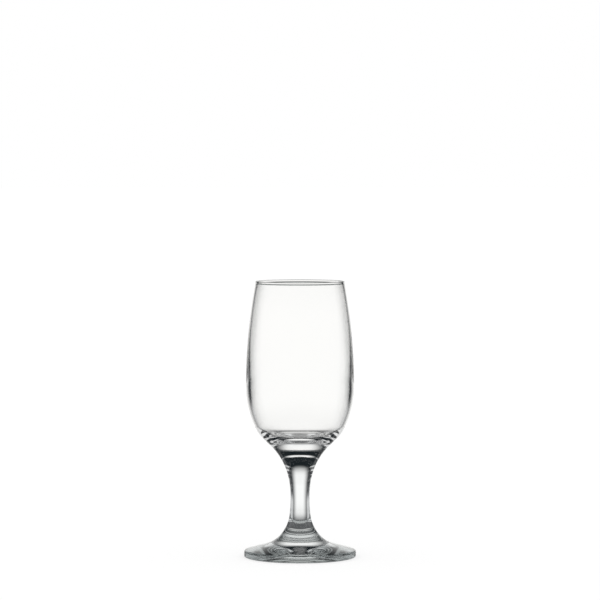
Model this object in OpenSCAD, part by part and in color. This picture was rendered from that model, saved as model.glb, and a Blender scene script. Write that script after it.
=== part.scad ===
// Sherry glass: a blown bowl and a pressed foot, joined hot to a solid drawn stem.
// Every piece is turned about the Z axis. The origin is in the middle of the resting plane.

/* [Heights] */
// Height of the whole glass, to the top of the rim
glass_h = 141; // [132:1:155]
// Height of the widest part of the bowl
belly_z = 87.5; // [82:0.5:95]
// Height of the thinnest part of the stem
waist_z = 29.5; // [27:0.5:32]
// Height of the seam where the stem meets the foot
foot_seam_z = 10.6; // [9.6:0.1:11.6]

/* [Bowl] */
// Diameter of the mouth, over the bead of the rim
rim_d = 45.8; // [40:0.2:50]
// Thickness of the fire-polished bead round the rim
bead_d = 1.5; // [1.4:0.1:2.2]
// Largest diameter of the bowl
belly_d = 55.2; // [52:0.2:62]
// Radius of the long curve from the belly down to the heel
shoulder_r = 50; // [44:0.5:56]
// Turn of that curve, from the belly to the heel, in degrees
shoulder_turn = 27; // [24:0.5:30]
// Radius of the tight curve at the heel of the bowl
heel_r = 14.5; // [12:0.5:18]
// Slope of the cone below the heel, in degrees from the vertical
heel_slope = 46; // [42:1:50]
// Height of the cone, from the heel down to the seam with the stem
cone_h = 5.05; // [4:0.05:6.5]

/* [Bowl wall] */
// Wall just below the bead
rim_wall = 1.1; // [0.9:0.1:1.3]
// Height above the belly over which the wall grows thinner
thin_rise = 13.5; // [8:0.5:18]
// Wall at the top of that height
thin_wall = 1.5; // [1.2:0.1:1.6]
// Wall at the belly
belly_wall = 2.2; // [2:0.1:2.8]
// Wall where the shoulder meets the heel
heel_wall = 2.2; // [2:0.1:2.8]
// Radius of the curve that runs from the inside of the shoulder into the floor
heel_in_r = 12; // [9:0.5:14]
// Glass between the seam and the lowest point of the inside
floor_t = 4.4; // [4:0.1:5.4]
// Radius of the shallow dish of the inside floor
floor_curve_r = 150; // [100:5:250]

/* [Stem] */
// Diameter at the waist
waist_d = 9.8; // [8.6:0.2:11]
// Radius of the long hollow curve of the waist, seen from the side
waist_curve_r = 75; // [60:1:120]
// Length of the waist curve above its thinnest part
waist_up = 6.5; // [5:0.5:9]
// Length of the waist curve below its thinnest part
waist_down = 7.5; // [6:0.5:9]
// Diameter of the lower end, where the stem meets the foot
collar_d = 21; // [20:0.2:22.4]

/* [Foot] */
// Diameter of the foot
foot_d = 57.4; // [52:0.2:66]
// Height of the edge, to the point where its side and top would meet
edge_h = 3.6; // [3:0.1:4.4]
// Radius of the upper round of the edge
edge_top_r = 1.4; // [0.8:0.1:1.8]
// Radius of the lower round of the edge
edge_low_r = 0.7; // [0.4:0.1:1]
// Radius of the sweep from the collar to the slope of the foot
sweep_r = 15.5; // [12:0.5:18]
// Diameter of the hollow under the foot, inside the resting ring
hollow_d = 50; // [40:0.5:50]
// Depth of that hollow
hollow_h = 1; // [0.6:0.1:1.6]

/* [Hidden] */
$fn = 360;
glass_colour = [0.88, 0.93, 0.94];

// Radius of an arc that starts upright and moves sideways by shift over a height of run
function upright_arc_r(run, shift) = (run * run + shift * shift) / (2 * shift);
// Point at a distance along a direction, in degrees from the radial axis
function polar(c, r, a) = [c.x + r * cos(a), c.y + r * sin(a)];
// Centre of a circle that touches two larger circles from inside
function inner_touch(c1, r1, c2, r2, r) =
    let (gap = c2 - c1, d = norm(gap), u = gap / d)
    let (along = (d * d + (r1 - r) * (r1 - r) - (r2 - r) * (r2 - r)) / (2 * d))
    c1 + u * along + [u.y, -u.x] * sqrt((r1 - r) * (r1 - r) - along * along);
// Nearest micron: bands that are stacked on each other share exact planes
function micron(v) = round(v * 1000) / 1000;

// Outside of the bowl: rim curve, shoulder and heel, each tangent to the next, then a cone to the seam
belly_r = belly_d / 2;
bead_c = [(rim_d - bead_d) / 2, glass_h - bead_d / 2];
rim_run = bead_c.y - belly_z;
rim_curve_r = upright_arc_r(rim_run, belly_r - bead_c.x - rim_wall / 2);
rim_curve_c = [belly_r - rim_curve_r, belly_z];
shoulder_c = [belly_r - shoulder_r, belly_z];
heel_top = polar(shoulder_c, shoulder_r, -shoulder_turn);
heel_c = polar(shoulder_c, shoulder_r - heel_r, -shoulder_turn);
heel_low = polar(heel_c, heel_r, -heel_slope);
bowl_seam_z = heel_low.y - cone_h;
bowl_seam_r = heel_low.x - cone_h * tan(heel_slope);

// Inside of the bowl: a thin wall below the rim, an ease to the thicker belly, then shoulder, heel and dished floor
belly_in_r = belly_r - belly_wall;
rim_in_r = bead_c.x - rim_wall / 2;
thin_z = belly_z + thin_rise;
thin_drop = rim_curve_r - sqrt(rim_curve_r * rim_curve_r - thin_rise * thin_rise);
thin_in_r = belly_in_r + max(belly_wall - thin_wall - thin_drop, 0.05);
rim_curve_in_r = upright_arc_r(bead_c.y - thin_z, thin_in_r - rim_in_r);
rim_curve_in_c = [thin_in_r - rim_curve_in_r, thin_z];
ease_z = belly_z + thin_rise / 2;
ease_r = upright_arc_r(thin_rise / 2, (thin_in_r - belly_in_r) / 2);
heel_in = polar(heel_top, -heel_wall, -shoulder_turn);
shoulder_in_r = upright_arc_r(belly_z - heel_in.y, belly_in_r - heel_in.x);
shoulder_in_c = [belly_in_r - shoulder_in_r, belly_z];
floor_z = bowl_seam_z + floor_t;
floor_c = [0, floor_z + floor_curve_r];
heel_in_c = inner_touch(shoulder_in_c, shoulder_in_r, floor_c, floor_curve_r, heel_in_r);
heel_in_z = belly_z - shoulder_in_r * (belly_z - heel_in_c.y) / (shoulder_in_r - heel_in_r);
floor_edge_z = floor_c.y - floor_curve_r * (floor_c.y - heel_in_c.y) / (floor_curve_r - heel_in_r);

// Stem: a long waist curve, and at each end a flare that leaves it smoothly and ends at the seam
waist_r = waist_d / 2;
waist_c = [waist_r + waist_curve_r, waist_z];
waist_top_turn = asin(waist_up / waist_curve_r);
waist_low_turn = asin(waist_down / waist_curve_r);
waist_top = polar(waist_c, -waist_curve_r, -waist_top_turn);
waist_low = polar(waist_c, -waist_curve_r, waist_low_turn);
upper_chord = [bowl_seam_r, bowl_seam_z] - waist_top;
upper_lean = atan2(upper_chord.x, upper_chord.y) - waist_top_turn;
upper_flare_r = norm(upper_chord) / (2 * sin(upper_lean));
upper_flare_c = polar(waist_top, upper_flare_r, -waist_top_turn);
collar_r = collar_d / 2;
lower_chord = [collar_r - waist_low.x, waist_low.y - foot_seam_z];
lower_lean = atan2(lower_chord.x, lower_chord.y) - waist_low_turn;
lower_flare_r = norm(lower_chord) / (2 * sin(lower_lean));
lower_flare_c = polar(waist_low, lower_flare_r, waist_low_turn);

// Foot: the sweep takes over the slope of the stem at the collar, then a straight slope runs to the edge
foot_r = foot_d / 2;
collar_slope = waist_low_turn + 2 * lower_lean;
sweep_c = polar([collar_r, foot_seam_z], sweep_r, collar_slope);
edge_top_c = [foot_r - edge_top_r, edge_h - edge_top_r];
edge_low_c = [foot_r - edge_low_r, edge_low_r];
edge_to_sweep = sweep_c - edge_top_c;
top_slope = 180 - asin((sweep_r + edge_top_r) / norm(edge_to_sweep)) - atan2(edge_to_sweep.y, edge_to_sweep.x);
slope_top = polar(sweep_c, -sweep_r, 90 - top_slope);
slope_low = polar(edge_top_c, edge_top_r, 90 - top_slope);
hollow_r = upright_arc_r(hollow_d / 2, hollow_h);

// Rectangle from the axis out to a radius, between two heights
module core_band(r, low, high) {
    translate([0, micron(low)]) square([r, micron(high) - micron(low)]);
}

// Area from the axis out to an arc that bulges outwards, between two heights
module convex_band(c, r, low, high) {
    intersection() {
        core_band(c.x + r, low, high);
        union() {
            translate(c) circle(r);
            if (c.x > 0) core_band(c.x, low, high);
        }
    }
}

// Area from the axis out to an arc that curves inwards, between two heights
module concave_band(c, r, low, high) {
    difference() {
        core_band(c.x, low, high);
        translate(c) circle(r);
    }
}

// Area from the axis out to a straight line between two points
module cone_band(low, high) {
    polygon([[0, micron(low.y)], [low.x, micron(low.y)], [high.x, micron(high.y)], [0, micron(high.y)]]);
}

module bowl_outside() {
    convex_band(rim_curve_c, rim_curve_r, belly_z, bead_c.y);
    convex_band(shoulder_c, shoulder_r, heel_top.y, belly_z);
    convex_band(heel_c, heel_r, heel_low.y, heel_top.y);
    cone_band([bowl_seam_r, bowl_seam_z], heel_low);
}

module bowl_inside() {
    convex_band(rim_curve_in_c, rim_curve_in_r, thin_z, bead_c.y);
    convex_band([thin_in_r - ease_r, thin_z], ease_r, ease_z, thin_z);
    concave_band([belly_in_r + ease_r, belly_z], ease_r, belly_z, ease_z);
    convex_band(shoulder_in_c, shoulder_in_r, heel_in_z, belly_z);
    convex_band(heel_in_c, heel_in_r, floor_edge_z, heel_in_z);
    convex_band(floor_c, floor_curve_r, floor_z, floor_edge_z);
}

// Bowl with its rim bead
module bowl() {
    color(glass_colour) rotate_extrude() {
        difference() {
            bowl_outside();
            bowl_inside();
        }
        translate(bead_c) circle(d = bead_d);
    }
}

// Solid stem between the two seams
module stem() {
    color(glass_colour) rotate_extrude() {
        concave_band(upper_flare_c, upper_flare_r, waist_top.y, bowl_seam_z);
        concave_band(waist_c, waist_curve_r, waist_low.y, waist_top.y);
        concave_band(lower_flare_c, lower_flare_r, foot_seam_z, waist_low.y);
    }
}

// Foot, hollowed below so that it rests on a ring
module foot() {
    color(glass_colour) rotate_extrude() difference() {
        union() {
            concave_band(sweep_c, sweep_r, slope_top.y, foot_seam_z);
            cone_band(slope_low, slope_top);
            convex_band(edge_top_c, edge_top_r, edge_top_c.y, slope_low.y);
            core_band(foot_r, edge_low_r, edge_top_c.y);
            convex_band(edge_low_c, edge_low_r, 0, edge_low_r);
        }
        translate([0, hollow_h - hollow_r]) circle(hollow_r);
    }
}

bowl();
stem();
foot();
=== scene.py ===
import math

import bpy
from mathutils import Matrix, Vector


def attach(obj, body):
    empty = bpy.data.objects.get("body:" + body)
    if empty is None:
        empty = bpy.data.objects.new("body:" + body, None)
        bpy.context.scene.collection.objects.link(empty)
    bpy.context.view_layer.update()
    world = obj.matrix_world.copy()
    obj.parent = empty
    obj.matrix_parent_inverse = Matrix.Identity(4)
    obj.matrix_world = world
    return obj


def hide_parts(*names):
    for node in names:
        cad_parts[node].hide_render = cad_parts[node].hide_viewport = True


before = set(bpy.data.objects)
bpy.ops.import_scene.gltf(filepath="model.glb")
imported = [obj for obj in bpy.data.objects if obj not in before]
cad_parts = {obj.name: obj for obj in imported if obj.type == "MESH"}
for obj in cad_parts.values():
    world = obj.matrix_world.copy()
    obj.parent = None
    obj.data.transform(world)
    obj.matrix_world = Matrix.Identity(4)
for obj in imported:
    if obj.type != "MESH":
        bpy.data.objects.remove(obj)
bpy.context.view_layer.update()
print("frame loaded:", ", ".join(sorted(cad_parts)))

mm = 0.001
turnSteps = 256     # facets round the axis, the same on every piece so that the seams match
mergeGap = 2e-6     # metres; the poles and the closing seam of a turned piece are merged within it
smoothAngle = 25    # degrees; sharper edges stay crisp
white = (1, 1, 1, 1)
black = (0, 0, 0, 1)


# Profiles are drawn in the XZ plane, as radius and height in millimetres, and then spun round Z.
# The last number that lineTo and arcTo take is a count of steps

def deselectAll():
    for thing in bpy.context.selected_objects:
        thing.select_set(False)


def startProfile(name, r, z):
    deselectAll()
    bpy.ops.mesh.primitive_plane_add(size=mm, location=(0, 0, 0))
    piece = bpy.context.object
    piece.name = name
    piece.data.name = name
    bpy.ops.object.mode_set(mode="EDIT")
    bpy.ops.mesh.select_all(action="SELECT")
    bpy.ops.mesh.merge(type="CENTER")
    bpy.ops.transform.translate(value=(r * mm, 0, z * mm))
    piece["penR"] = r
    piece["penZ"] = z
    return piece


def lineTo(piece, r, z, steps=1):
    step = ((r - piece["penR"]) / steps * mm, 0, (z - piece["penZ"]) / steps * mm)
    for _ in range(steps):
        bpy.ops.mesh.extrude_region_move(TRANSFORM_OT_translate={"value": step})
    piece["penR"] = r
    piece["penZ"] = z


# Sweeps the pen about a centre; a positive turn goes up on the outside of the centre
def arcTo(piece, centre, turn, steps):
    hub = (centre[0] * mm, 0, centre[1] * mm)
    bpy.ops.mesh.spin(steps=steps, angle=math.radians(turn), center=hub, axis=(0, 1, 0))
    dr = piece["penR"] - centre[0]
    dz = piece["penZ"] - centre[1]
    c = math.cos(math.radians(turn))
    s = math.sin(math.radians(turn))
    piece["penR"] = centre[0] + dr * c - dz * s
    piece["penZ"] = centre[1] + dr * s + dz * c


def turnRound(piece):
    bpy.ops.mesh.select_all(action="SELECT")
    bpy.ops.mesh.spin(steps=turnSteps, angle=math.tau, center=(0, 0, 0), axis=(0, 0, 1))
    bpy.ops.mesh.select_all(action="SELECT")
    bpy.ops.mesh.remove_doubles(threshold=mergeGap)
    bpy.ops.mesh.normals_make_consistent(inside=False)
    bpy.ops.object.mode_set(mode="OBJECT")
    bpy.ops.object.shade_smooth_by_angle(angle=math.radians(smoothAngle))
    del piece["penR"]
    del piece["penZ"]
    print(piece.name, "turned:", len(piece.data.polygons), "faces")


def polar(centre, r, a):
    return centre[0] + r * math.cos(math.radians(a)), centre[1] + r * math.sin(math.radians(a))


# Radius of an arc that starts upright and moves sideways by shift over a height of run
def uprightArcR(run, shift):
    return (run * run + shift * shift) / (2 * shift)


# Centre of a circle that touches two larger circles from inside
def innerTouch(firstC, firstR, secondC, secondR, r):
    start = Vector(firstC)
    gap = Vector(secondC) - start
    along = (gap.length_squared + (firstR - r) ** 2 - (secondR - r) ** 2) / (2 * gap.length)
    off = math.sqrt((firstR - r) ** 2 - along ** 2)
    unit = gap.normalized()
    return tuple(start + unit * along + Vector((unit.y, -unit.x)) * off)


footSeam = {"z": 10.6, "collarR": 10.5}

bowlSizes = {
    "glassH": 141, "bellyZ": 87.5, "rimD": 45.8, "beadD": 1.5, "bellyD": 55.2,
    "shoulderR": 50, "shoulderTurn": 27, "heelR": 14.5, "heelSlope": 46, "coneH": 5.05,
    "rimWall": 1.1, "thinRise": 13.5, "thinWall": 1.5, "bellyWall": 2.2, "heelWall": 2.2,
    "heelInR": 12, "floorT": 4.4, "floorCurveR": 150,
}


# Outside of the bowl, as the centres and points that its curves share
def bowlCurves():
    s = bowlSizes
    belly = s["bellyD"] / 2
    shoulderC = (belly - s["shoulderR"], s["bellyZ"])
    heelTop = polar(shoulderC, s["shoulderR"], -s["shoulderTurn"])
    heelC = polar(shoulderC, s["shoulderR"] - s["heelR"], -s["shoulderTurn"])
    heelLow = polar(heelC, s["heelR"], -s["heelSlope"])
    seam = (heelLow[0] - s["coneH"] * math.tan(math.radians(s["heelSlope"])), heelLow[1] - s["coneH"])
    return {"shoulderC": shoulderC, "heelTop": heelTop, "heelC": heelC, "heelLow": heelLow, "seam": seam}


def makeBowl():
    s = bowlSizes
    c = bowlCurves()
    belly = s["bellyD"] / 2
    bellyIn = belly - s["bellyWall"]
    beadR = s["beadD"] / 2
    bead = (s["rimD"] / 2 - beadR, s["glassH"] - beadR)
    # the bead meets the wall where the wall enters its circle
    dip = math.degrees(math.acos(s["rimWall"] / s["beadD"]))
    neckZ = bead[1] - beadR * math.sin(math.radians(dip))
    run = bead[1] - s["bellyZ"]
    rimCurveR = uprightArcR(run, belly - bead[0] - s["rimWall"] / 2)
    rimTurn = math.degrees(math.asin((neckZ - s["bellyZ"]) / rimCurveR))

    # inside: an even thin wall above, which thickens towards the belly over the height of thinRise
    thinZ = s["bellyZ"] + s["thinRise"]
    thinIn = belly - rimCurveR + math.sqrt(rimCurveR ** 2 - s["thinRise"] ** 2) - s["thinWall"]
    rimInR = uprightArcR(bead[1] - thinZ, thinIn - bead[0] + s["rimWall"] / 2)
    rimInC = (thinIn - rimInR, thinZ)
    rimInTurn = math.degrees(math.asin((neckZ - thinZ) / rimInR))
    easeR = uprightArcR(s["thinRise"] / 2, (thinIn - bellyIn) / 2)
    easeTurn = math.degrees(math.asin(s["thinRise"] / 2 / easeR))
    heelIn = polar(c["heelTop"], -s["heelWall"], -s["shoulderTurn"])
    shoulderInR = uprightArcR(s["bellyZ"] - heelIn[1], bellyIn - heelIn[0])
    shoulderInC = (bellyIn - shoulderInR, s["bellyZ"])
    floorC = (0, c["seam"][1] + s["floorT"] + s["floorCurveR"])
    heelInC = innerTouch(shoulderInC, shoulderInR, floorC, s["floorCurveR"], s["heelInR"])
    heelInTurn = math.degrees(math.atan2(shoulderInC[1] - heelInC[1], heelInC[0] - shoulderInC[0]))
    floorTurn = math.degrees(math.atan2(heelInC[0], floorC[1] - heelInC[1]))

    piece = startProfile("bowl_glass", 0, c["seam"][1])
    lineTo(piece, *c["seam"], 4)
    lineTo(piece, *c["heelLow"], 8)
    arcTo(piece, c["heelC"], s["heelSlope"] - s["shoulderTurn"], 12)
    arcTo(piece, c["shoulderC"], s["shoulderTurn"], 32)
    arcTo(piece, (belly - rimCurveR, s["bellyZ"]), rimTurn, 40)
    lineTo(piece, *polar(bead, beadR, -dip))
    arcTo(piece, bead, 180 + 2 * dip, 24)
    lineTo(piece, *polar(rimInC, rimInR, rimInTurn))
    arcTo(piece, rimInC, -rimInTurn, 36)
    arcTo(piece, (thinIn - easeR, thinZ), -easeTurn, 8)
    arcTo(piece, (bellyIn + easeR, s["bellyZ"]), easeTurn, 8)
    arcTo(piece, shoulderInC, -heelInTurn, 28)
    arcTo(piece, heelInC, heelInTurn - 90 + floorTurn, 24)
    arcTo(piece, floorC, -floorTurn, 12)
    turnRound(piece)
    return piece


stemSizes = {"waistD": 9.8, "waistZ": 29.5, "waistCurveR": 75, "waistUp": 6.5, "waistDown": 7.5}


# Waist and flares from the lower seam to the upper one, shared by the stem and the slope of the foot
def stemCurves():
    s = stemSizes
    waistC = (s["waistD"] / 2 + s["waistCurveR"], s["waistZ"])
    topTurn = math.degrees(math.asin(s["waistUp"] / s["waistCurveR"]))
    lowTurn = math.degrees(math.asin(s["waistDown"] / s["waistCurveR"]))
    top = polar(waistC, -s["waistCurveR"], -topTurn)
    low = polar(waistC, -s["waistCurveR"], lowTurn)
    seam = bowlCurves()["seam"]
    upChord = (seam[0] - top[0], seam[1] - top[1])
    upLean = math.degrees(math.atan2(*upChord)) - topTurn
    upR = math.hypot(*upChord) / (2 * math.sin(math.radians(upLean)))
    lowChord = (footSeam["collarR"] - low[0], low[1] - footSeam["z"])
    lowLean = math.degrees(math.atan2(*lowChord)) - lowTurn
    lowR = math.hypot(*lowChord) / (2 * math.sin(math.radians(lowLean)))
    return {
        "waistC": waistC, "topTurn": topTurn, "lowTurn": lowTurn, "upLean": upLean, "lowLean": lowLean,
        "upC": polar(top, upR, -topTurn), "lowC": polar(low, lowR, lowTurn),
        "collarSlope": lowTurn + 2 * lowLean,
    }


def makeStem():
    c = stemCurves()
    piece = startProfile("stem_glass", 0, footSeam["z"])
    lineTo(piece, footSeam["collarR"], footSeam["z"], 4)
    arcTo(piece, c["lowC"], -2 * c["lowLean"], 32)
    arcTo(piece, c["waistC"], -(c["lowTurn"] + c["topTurn"]), 24)
    arcTo(piece, c["upC"], -2 * c["upLean"], 40)
    lineTo(piece, 0, bowlCurves()["seam"][1], 4)
    turnRound(piece)
    return piece


footSizes = {
    "footD": 57.4, "edgeH": 3.6, "edgeTopR": 1.4, "edgeLowR": 0.7, "sweepR": 15.5,
    "hollowD": 50, "hollowH": 1,
}


def makeFoot():
    s = footSizes
    r = s["footD"] / 2
    slopeIn = stemCurves()["collarSlope"]
    sweepC = polar((footSeam["collarR"], footSeam["z"]), s["sweepR"], slopeIn)
    topC = (r - s["edgeTopR"], s["edgeH"] - s["edgeTopR"])
    lowC = (r - s["edgeLowR"], s["edgeLowR"])
    gap = (sweepC[0] - topC[0], sweepC[1] - topC[1])
    lean = math.degrees(math.asin((s["sweepR"] + s["edgeTopR"]) / math.hypot(*gap)))
    slope = 180 - lean - math.degrees(math.atan2(gap[1], gap[0]))
    slopeTop = polar(sweepC, -s["sweepR"], 90 - slope)
    hollowR = uprightArcR(s["hollowD"] / 2, s["hollowH"])
    hollowTurn = math.degrees(math.asin(s["hollowD"] / 2 / hollowR))
    piece = startProfile("foot_glass", 0, s["hollowH"])
    arcTo(piece, (0, s["hollowH"] - hollowR), -hollowTurn, 24)
    lineTo(piece, lowC[0], 0, 2)
    arcTo(piece, lowC, 90, 8)
    lineTo(piece, r, topC[1], 2)
    arcTo(piece, topC, 90 - slope, 12)
    lineTo(piece, *slopeTop, 12)
    arcTo(piece, sweepC, -(90 - slope - slopeIn), 24)
    lineTo(piece, 0, footSeam["z"], 4)
    turnRound(piece)
    return piece


bowl = makeBowl()
stem = makeStem()
foot = makeFoot()


# Node helpers: a value on a socket is either a link or a constant

def setInput(tree, socket, value):
    if isinstance(value, bpy.types.NodeSocket):
        tree.links.new(value, socket)
    else:
        socket.default_value = value


def mathNode(tree, kind, first, second=0.0):
    node = tree.nodes.new("ShaderNodeMath")
    node.operation = kind
    setInput(tree, node.inputs[0], first)
    setInput(tree, node.inputs[1], second)
    return node.outputs[0]


# Smooth step from 0 at one value to 1 at another
def rampNode(tree, value, zeroAt, oneAt):
    node = tree.nodes.new("ShaderNodeMapRange")
    node.interpolation_type = "SMOOTHSTEP"
    setInput(tree, node.inputs["Value"], value)
    setInput(tree, node.inputs["From Min"], zeroAt)
    setInput(tree, node.inputs["From Max"], oneAt)
    return node.outputs[0]


def mixNode(tree, factor, first, second):
    node = tree.nodes.new("ShaderNodeMix")
    node.data_type = "RGBA"
    setInput(tree, node.inputs["Factor"], factor)
    setInput(tree, node.inputs["A"], first)
    setInput(tree, node.inputs["B"], second)
    return node.outputs["Result"]


def noiseNode(tree, place, scale, detail):
    node = tree.nodes.new("ShaderNodeTexNoise")
    setInput(tree, node.inputs["Vector"], place)
    setInput(tree, node.inputs["Scale"], scale)
    setInput(tree, node.inputs["Detail"], detail)
    return node.outputs["Fac"]


def splitNode(tree, vector):
    node = tree.nodes.new("ShaderNodeSeparateXYZ")
    setInput(tree, node.inputs[0], vector)
    return node.outputs


surfaceLook = {
    "waveDetail": 1,
    "driftScale": 35, "driftDetail": 2, "driftRange": (0.3, 0.7),
    "touchScale": 220, "touchDetail": 4, "touchRange": (0.5, 0.8), "mostHaze": 0.012,
}


# Surface of hand-worked glass: soft waves, a tint that drifts a little and a trace of handling
def glassSurfaceGroup():
    group = bpy.data.node_groups.new("glassSurface", "ShaderNodeTree")
    group.interface.new_socket("Place", in_out="INPUT", socket_type="NodeSocketVector")
    group.interface.new_socket("Waves", in_out="INPUT", socket_type="NodeSocketFloat")
    group.interface.new_socket("Tint", in_out="INPUT", socket_type="NodeSocketColor")
    group.interface.new_socket("Thin Tint", in_out="INPUT", socket_type="NodeSocketColor")
    group.interface.new_socket("Colour", in_out="OUTPUT", socket_type="NodeSocketColor")
    group.interface.new_socket("Roughness", in_out="OUTPUT", socket_type="NodeSocketFloat")
    group.interface.new_socket("Height", in_out="OUTPUT", socket_type="NodeSocketFloat")
    start = group.nodes.new("NodeGroupInput")
    end = group.nodes.new("NodeGroupOutput")
    look = surfaceLook
    place = start.outputs["Place"]
    waves = noiseNode(group, place, start.outputs["Waves"], look["waveDetail"])
    setInput(group, end.inputs["Height"], waves)
    drift = noiseNode(group, place, look["driftScale"], look["driftDetail"])
    drifted = rampNode(group, drift, *look["driftRange"])
    colour = mixNode(group, drifted, start.outputs["Tint"], start.outputs["Thin Tint"])
    setInput(group, end.inputs["Colour"], colour)
    touch = noiseNode(group, place, look["touchScale"], look["touchDetail"])
    haze = mathNode(group, "MULTIPLY", rampNode(group, touch, *look["touchRange"]), look["mostHaze"])
    setInput(group, end.inputs["Roughness"], haze)
    return group


glassSurface = glassSurfaceGroup()

glassIor = 1.52
# Depth is the height of the waves in metres; rim heights and edge radii are in millimetres
bowlLook = {
    "name": "bowlGlass", "stretch": (1, 1, 0.45), "waves": 70, "depth": 0.00001,
    "tint": (0.995, 0.998, 0.996, 1), "thinTint": (1, 1, 0.999, 1), "gloss": (0.35, 0.35, 0.35, 1),
    # the rim entries place a painted shade line, darker glass colour, under the bead
    "rimShade": (0.5, 0.53, 0.52, 1), "rimFrom": (139.3, 139.6), "rimTo": (140.2, 139.85),
}
stemLook = {
    "name": "stemGlass", "stretch": (1, 1, 0.12), "waves": 260, "depth": 0.000004,
    "tint": (0.965, 0.988, 0.993, 1), "thinTint": (0.98, 0.995, 0.998, 1), "gloss": (1, 1, 1, 1),
}
footLook = {
    "name": "footGlass", "stretch": (1, 1, 1), "waves": 90, "depth": 0.00001,
    "tint": (0.965, 0.988, 0.99, 1), "thinTint": (0.98, 0.995, 0.994, 1), "gloss": (1, 1, 1, 1),
    # the edge entries give painted shade, darker glass colour, towards the edge of the foot
    "edgeShade": (0.48, 0.52, 0.52, 1), "edgeFrom": (15, 23),
}


# Painted shade: a darker glass colour on the lower side of the bead, which draws a dark line round the
# mouth
def paintedRimShade(tree, place, colour, look):
    height = mathNode(tree, "DIVIDE", splitNode(tree, place)["Z"], mm)
    above = rampNode(tree, height, *look["rimFrom"])
    below = rampNode(tree, height, *look["rimTo"])
    return mixNode(tree, mathNode(tree, "MULTIPLY", above, below), colour, look["rimShade"])


# Painted shade: the glass colour darkens towards the edge of the foot, where the foot looks dark; only a
# little of it is the deeper colour of a long way through glass
def paintedEdgeShade(tree, place, colour, look):
    parts = splitNode(tree, place)
    across = mathNode(tree, "MULTIPLY", parts["X"], parts["X"])
    along = mathNode(tree, "MULTIPLY", parts["Y"], parts["Y"])
    radius = mathNode(tree, "SQRT", mathNode(tree, "ADD", across, along))
    inEdge = rampNode(tree, mathNode(tree, "DIVIDE", radius, mm), *look["edgeFrom"])
    return mixNode(tree, inEdge, colour, look["edgeShade"])


def glassMaterial(look):
    material = bpy.data.materials.new(look["name"])
    material.use_nodes = True
    tree = material.node_tree
    place = tree.nodes.new("ShaderNodeTexCoord")
    stretch = tree.nodes.new("ShaderNodeVectorMath")
    stretch.operation = "MULTIPLY"
    setInput(tree, stretch.inputs[0], place.outputs["Object"])
    setInput(tree, stretch.inputs[1], look["stretch"])
    surface = tree.nodes.new("ShaderNodeGroup")
    surface.node_tree = glassSurface
    setInput(tree, surface.inputs["Place"], stretch.outputs[0])
    setInput(tree, surface.inputs["Waves"], look["waves"])
    setInput(tree, surface.inputs["Tint"], look["tint"])
    setInput(tree, surface.inputs["Thin Tint"], look["thinTint"])
    bump = tree.nodes.new("ShaderNodeBump")
    setInput(tree, bump.inputs["Strength"], 1)
    setInput(tree, bump.inputs["Distance"], look["depth"])
    setInput(tree, bump.inputs["Height"], surface.outputs["Height"])
    colour = surface.outputs["Colour"]
    # painted shade: a dark line under the bowl's bead
    if "rimShade" in look:
        colour = paintedRimShade(tree, place.outputs["Object"], colour, look)
    # painted shade: darker towards the edge of the foot
    if "edgeShade" in look:
        colour = paintedEdgeShade(tree, place.outputs["Object"], colour, look)
    shader = tree.nodes["Principled BSDF"]
    setInput(tree, shader.inputs["Base Color"], colour)
    setInput(tree, shader.inputs["Roughness"], surface.outputs["Roughness"])
    setInput(tree, shader.inputs["Normal"], bump.outputs["Normal"])
    setInput(tree, shader.inputs["IOR"], glassIor)
    setInput(tree, shader.inputs["Specular Tint"], look["gloss"])
    setInput(tree, shader.inputs["Transmission Weight"], 1)
    return material


# The pieces are fused at the seams, so the faces that meet there are clear
def weldMaterial():
    material = bpy.data.materials.new("weldedSeam")
    material.use_nodes = True
    setInput(material.node_tree, material.node_tree.nodes["Principled BSDF"].inputs["Alpha"], 0)
    return material


seamTest = {"reach": 1e-5, "leastUpright": 0.99}
weld = weldMaterial()
seamHeights = (bowlCurves()["seam"][1] * mm, footSeam["z"] * mm)
for piece, look in ((bowl, bowlLook), (stem, stemLook), (foot, footLook)):
    piece.data.materials.append(glassMaterial(look))
    piece.data.materials.append(weld)
    for face in piece.data.polygons:
        onSeam = min(abs(face.center.z - z) for z in seamHeights) < seamTest["reach"]
        if onSeam and abs(face.normal.z) > seamTest["leastUpright"]:
            face.material_index = 1
    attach(piece, "root")
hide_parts("bowl")
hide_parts("stem")
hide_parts("foot")
print("glass materials set")


# Camera
view = {"distance": 1.53325, "height": 0.19777, "pitch": 2.4817, "lens": 180.48}
cameraData = bpy.data.cameras.new("camera")
cameraData.lens = view["lens"]
camera = bpy.data.objects.new("camera", cameraData)
camera.location = (0, -view["distance"], view["height"])
camera.rotation_euler = (math.radians(90 - view["pitch"]), 0, 0)
bpy.context.collection.objects.link(camera)
bpy.context.scene.camera = camera


# World
world = bpy.data.worlds.new("studio")
bpy.context.scene.world = world
world.use_nodes = True
setInput(world.node_tree, world.node_tree.nodes["Background"].inputs["Color"], white)
setInput(world.node_tree, world.node_tree.nodes["Background"].inputs["Strength"], 1)


# A dull surface that shines by itself, for the stage only
def glowMaterial(name, base, strength):
    material = bpy.data.materials.new(name)
    material.use_nodes = True
    tree = material.node_tree
    shader = tree.nodes["Principled BSDF"]
    setInput(tree, shader.inputs["Base Color"], base)
    setInput(tree, shader.inputs["Roughness"], 1)
    setInput(tree, shader.inputs["Specular IOR Level"], 0)
    setInput(tree, shader.inputs["Emission Color"], white)
    setInput(tree, shader.inputs["Emission Strength"], strength)
    return material


# Floor: pale, with a faint shadow; the glass looks past it, to the surround
floorLook = {"size": 60, "drop": 0.0002, "colour": (0.3, 0.3, 0.3, 1), "glow": 0.72}
deselectAll()
bpy.ops.mesh.primitive_plane_add(size=floorLook["size"], location=(0, 0, -floorLook["drop"]))
floor = bpy.context.object
floor.name = "floor"
floor.visible_transmission = False
floor.visible_glossy = False
floor.data.materials.append(glowMaterial("paleFloor", floorLook["colour"], floorLook["glow"]))


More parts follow.
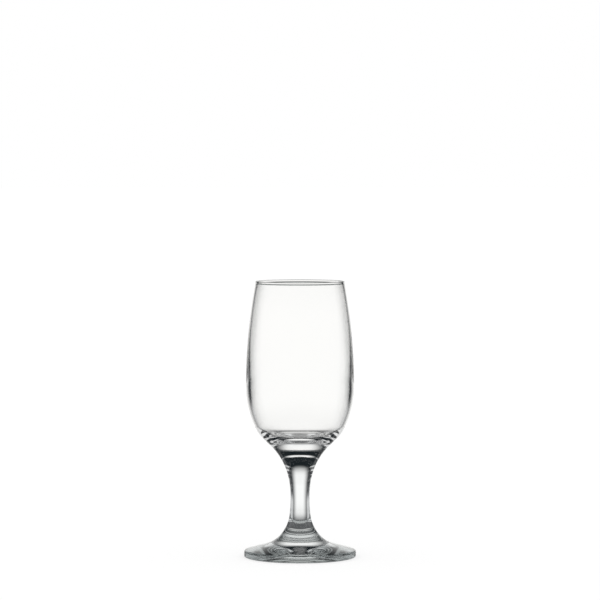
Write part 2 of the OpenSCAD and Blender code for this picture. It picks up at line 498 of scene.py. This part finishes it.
# Surround, seen only through and in the glass, on a near-black dome that stays in place: a white window
# behind the glass, a strip of table below it, grey corners, a pale room round the sides and front, and
# a dim floor. Angles are in degrees from the photo's line of sight, to the side and up, and each panel
# edge fades from its first angle, where it is dark, to its second
surround = {"radius": 0.45, "height": 0.07, "segments": 128, "rings": 64, "dark": (0.007, 0.011, 0.014, 1)}
lowPanel = {"light": 1, "colour": (0.11, 0.112, 0.114, 1), "riseTo": (-30, -46)}
cornerPanel = {
    "light": 1, "colour": (0.6, 0.602, 0.603, 1),
    "sideFrom": (28, 40), "riseFrom": (-40, -30), "riseTo": (-4, -12),
}
roomPanel = {
    "light": 1, "colour": (0.8, 0.802, 0.803, 1),
    "sideFrom": (58, 76), "riseFrom": (-34, -20), "riseTo": (28, 12),
}
tablePanel = {
    "light": 0.55, "colour": (1, 0.995, 0.97, 1),
    "sideTo": (44, 34), "riseFrom": (-67, -51), "riseTo": (-35, -47),
}
windowPanel = {
    "light": 1, "colour": (1, 0.994, 0.982, 1),
    "sideTo": (38, 10), "riseFrom": (-39, -9), "riseTo": (33, 10),
}


def panelLight(tree, side, rise, panel):
    light = panel["light"]
    for angle, edge in ((side, "sideFrom"), (side, "sideTo"), (rise, "riseFrom"), (rise, "riseTo")):
        if edge in panel:
            light = mathNode(tree, "MULTIPLY", rampNode(tree, angle, *panel[edge]), light)
    return light


def surroundMaterial():
    material = glowMaterial("surround", black, 1)
    tree = material.node_tree
    place = tree.nodes.new("ShaderNodeTexCoord")
    unit = tree.nodes.new("ShaderNodeVectorMath")
    unit.operation = "NORMALIZE"
    setInput(tree, unit.inputs[0], place.outputs["Object"])
    parts = splitNode(tree, unit.outputs[0])
    ahead = mathNode(tree, "MULTIPLY", parts["Z"], -1)
    turn = mathNode(tree, "ARCTAN2", parts["X"], ahead)
    side = mathNode(tree, "DEGREES", mathNode(tree, "ABSOLUTE", turn))
    rise = mathNode(tree, "DEGREES", mathNode(tree, "ARCSINE", parts["Y"]))
    glow = surround["dark"]
    for panel in (lowPanel, cornerPanel, roomPanel, tablePanel, windowPanel):
        glow = mixNode(tree, panelLight(tree, side, rise, panel), glow, panel["colour"])
    setInput(tree, tree.nodes["Principled BSDF"].inputs["Emission Color"], glow)
    return material


deselectAll()
bpy.ops.mesh.primitive_uv_sphere_add(
    segments=surround["segments"], ring_count=surround["rings"], radius=surround["radius"],
)
dome = bpy.context.object
dome.name = "surround"
dome.location = (0, 0, surround["height"])
dome.rotation_euler = (math.radians(90 - view["pitch"]), 0, 0)
dome.data.materials.append(surroundMaterial())
dome.visible_camera = False
dome.visible_diffuse = False
dome.visible_shadow = False
dome.visible_volume_scatter = False
print("studio set")

# Light bends and bounces many times inside thick glass
bounces = {"most": 32, "glossy": 24}
scene = bpy.context.scene
scene.view_settings.view_transform = "Standard"
scene.cycles.max_bounces = bounces["most"]
scene.cycles.glossy_bounces = bounces["glossy"]
scene.cycles.transmission_bounces = bounces["most"]
scene.cycles.transparent_max_bounces = bounces["most"]
